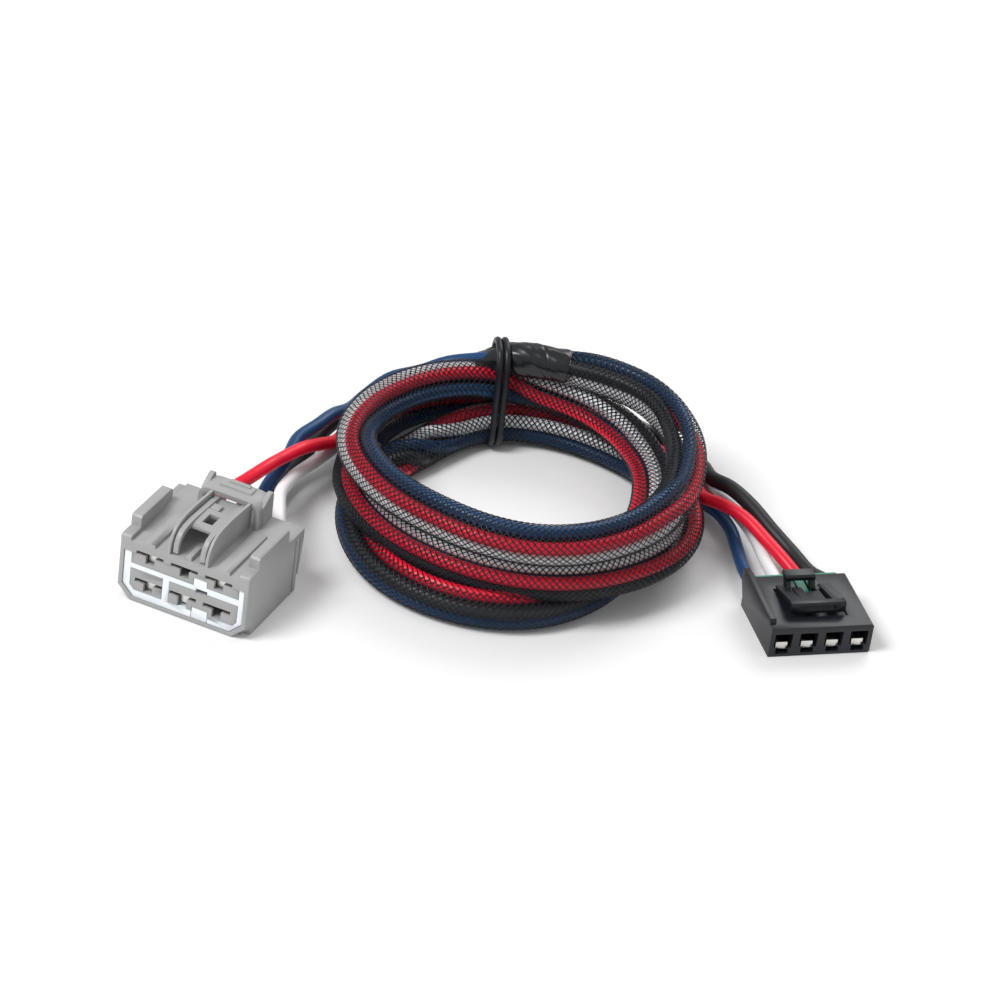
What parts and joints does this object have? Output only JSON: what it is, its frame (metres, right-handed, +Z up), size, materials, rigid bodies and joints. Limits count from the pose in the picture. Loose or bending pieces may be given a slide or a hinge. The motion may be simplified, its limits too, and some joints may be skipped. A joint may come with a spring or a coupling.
{
  "type": "trailer brake controller wiring adapter harness",
  "caption": "Wiring adapter harness: a six-way vehicle plug and a four-way brake controller plug joined by four wires in a coiled braided sleeve.",
  "frame": {"origin": "on the table, centred under the bounding box of the two connectors", "axes": "+X runs from the vehicle connector to the controller connector, +Y from the connectors' mating faces to their wires and the coil, +Z up"},
  "size_m": [0.1968, 0.1331, 0.0327],
  "materials": {
    "housing_grey": "fine matt moulded grey nylon",
    "holder_white": "bluish white moulded nylon",
    "housing_black": "black moulded nylon, satin",
    "lock_green": "green moulded nylon",
    "tinned_terminal": "tin-plated sheet metal",
    "copper_strands": "bare copper strands",
    "wire_red": "glossy red wire insulation",
    "wire_white": "glossy white wire insulation",
    "wire_black": "glossy black wire insulation",
    "wire_blue": "glossy blue wire insulation",
    "braid_black": "black polyester monofilament braid",
    "tape_black": "wrinkled black vinyl tape",
    "tie_black": "black plastic-coated tie wire"
  },
  "bodies": {
    "harness": {"vehicle_housing": "housing_grey", "vehicle_terminal_red": "tinned_terminal", "vehicle_terminal_white": "tinned_terminal", "vehicle_terminal_black": "tinned_terminal", "vehicle_terminal_blue": "tinned_terminal", "vehicle_conductors": "copper_strands", "controller_housing": "housing_black", "controller_terminal_blue": "tinned_terminal", "controller_terminal_white": "tinned_terminal", "controller_terminal_red": "tinned_terminal", "controller_terminal_black": "tinned_terminal", "controller_conductors": "copper_strands", "wire_red_vehicle_end": "wire_red", "wire_white_vehicle_end": "wire_white", "wire_black_vehicle_end": "wire_black", "wire_blue_vehicle_end": "wire_blue", "wire_blue_controller_end": "wire_blue", "wire_white_controller_end": "wire_white", "wire_red_controller_end": "wire_red", "wire_black_controller_end": "wire_black", "sleeve_coil": "braid_black", "sleeve_tail": "braid_black", "tape_wrap_start": "tape_black", "tape_wrap_end": "tape_black", "cable_tie": "tie_black"},
    "vehicle_latch_lever": {"vehicle_latch": "housing_grey"},
    "vehicle_holder": {"vehicle_front_holder": "holder_white"},
    "controller_latch_lever": {"controller_latch": "housing_black"},
    "controller_lock": {"controller_terminal_lock": "lock_green"}
  },
  "joints": [
    {"name": "vehicle_latch_press", "type": "hinge", "parent": "harness", "child": "vehicle_latch_lever", "pos_m": [-0.07995, -0.0214, 0.01875], "axis": [0.9367, -0.3502, 0], "range_deg": [-5, 0], "stiffness_Nm_per_rad": 0.4},
    {"name": "vehicle_holder_slide", "type": "slide", "parent": "harness", "child": "vehicle_holder", "axis": [-0.3502, -0.9367, 0], "range_m": [0, 0.003]},
    {"name": "controller_latch_press", "type": "hinge", "parent": "harness", "child": "controller_latch_lever", "pos_m": [0.07967, 0.01773, 0.00905], "axis": [0.9483, 0.3173, 0], "range_deg": [-6, 0], "stiffness_Nm_per_rad": 0.1},
    {"name": "controller_lock_slide", "type": "slide", "parent": "harness", "child": "controller_lock", "axis": [-0.3173, 0.9483, 0], "range_m": [0, 0.003]}
  ]
}
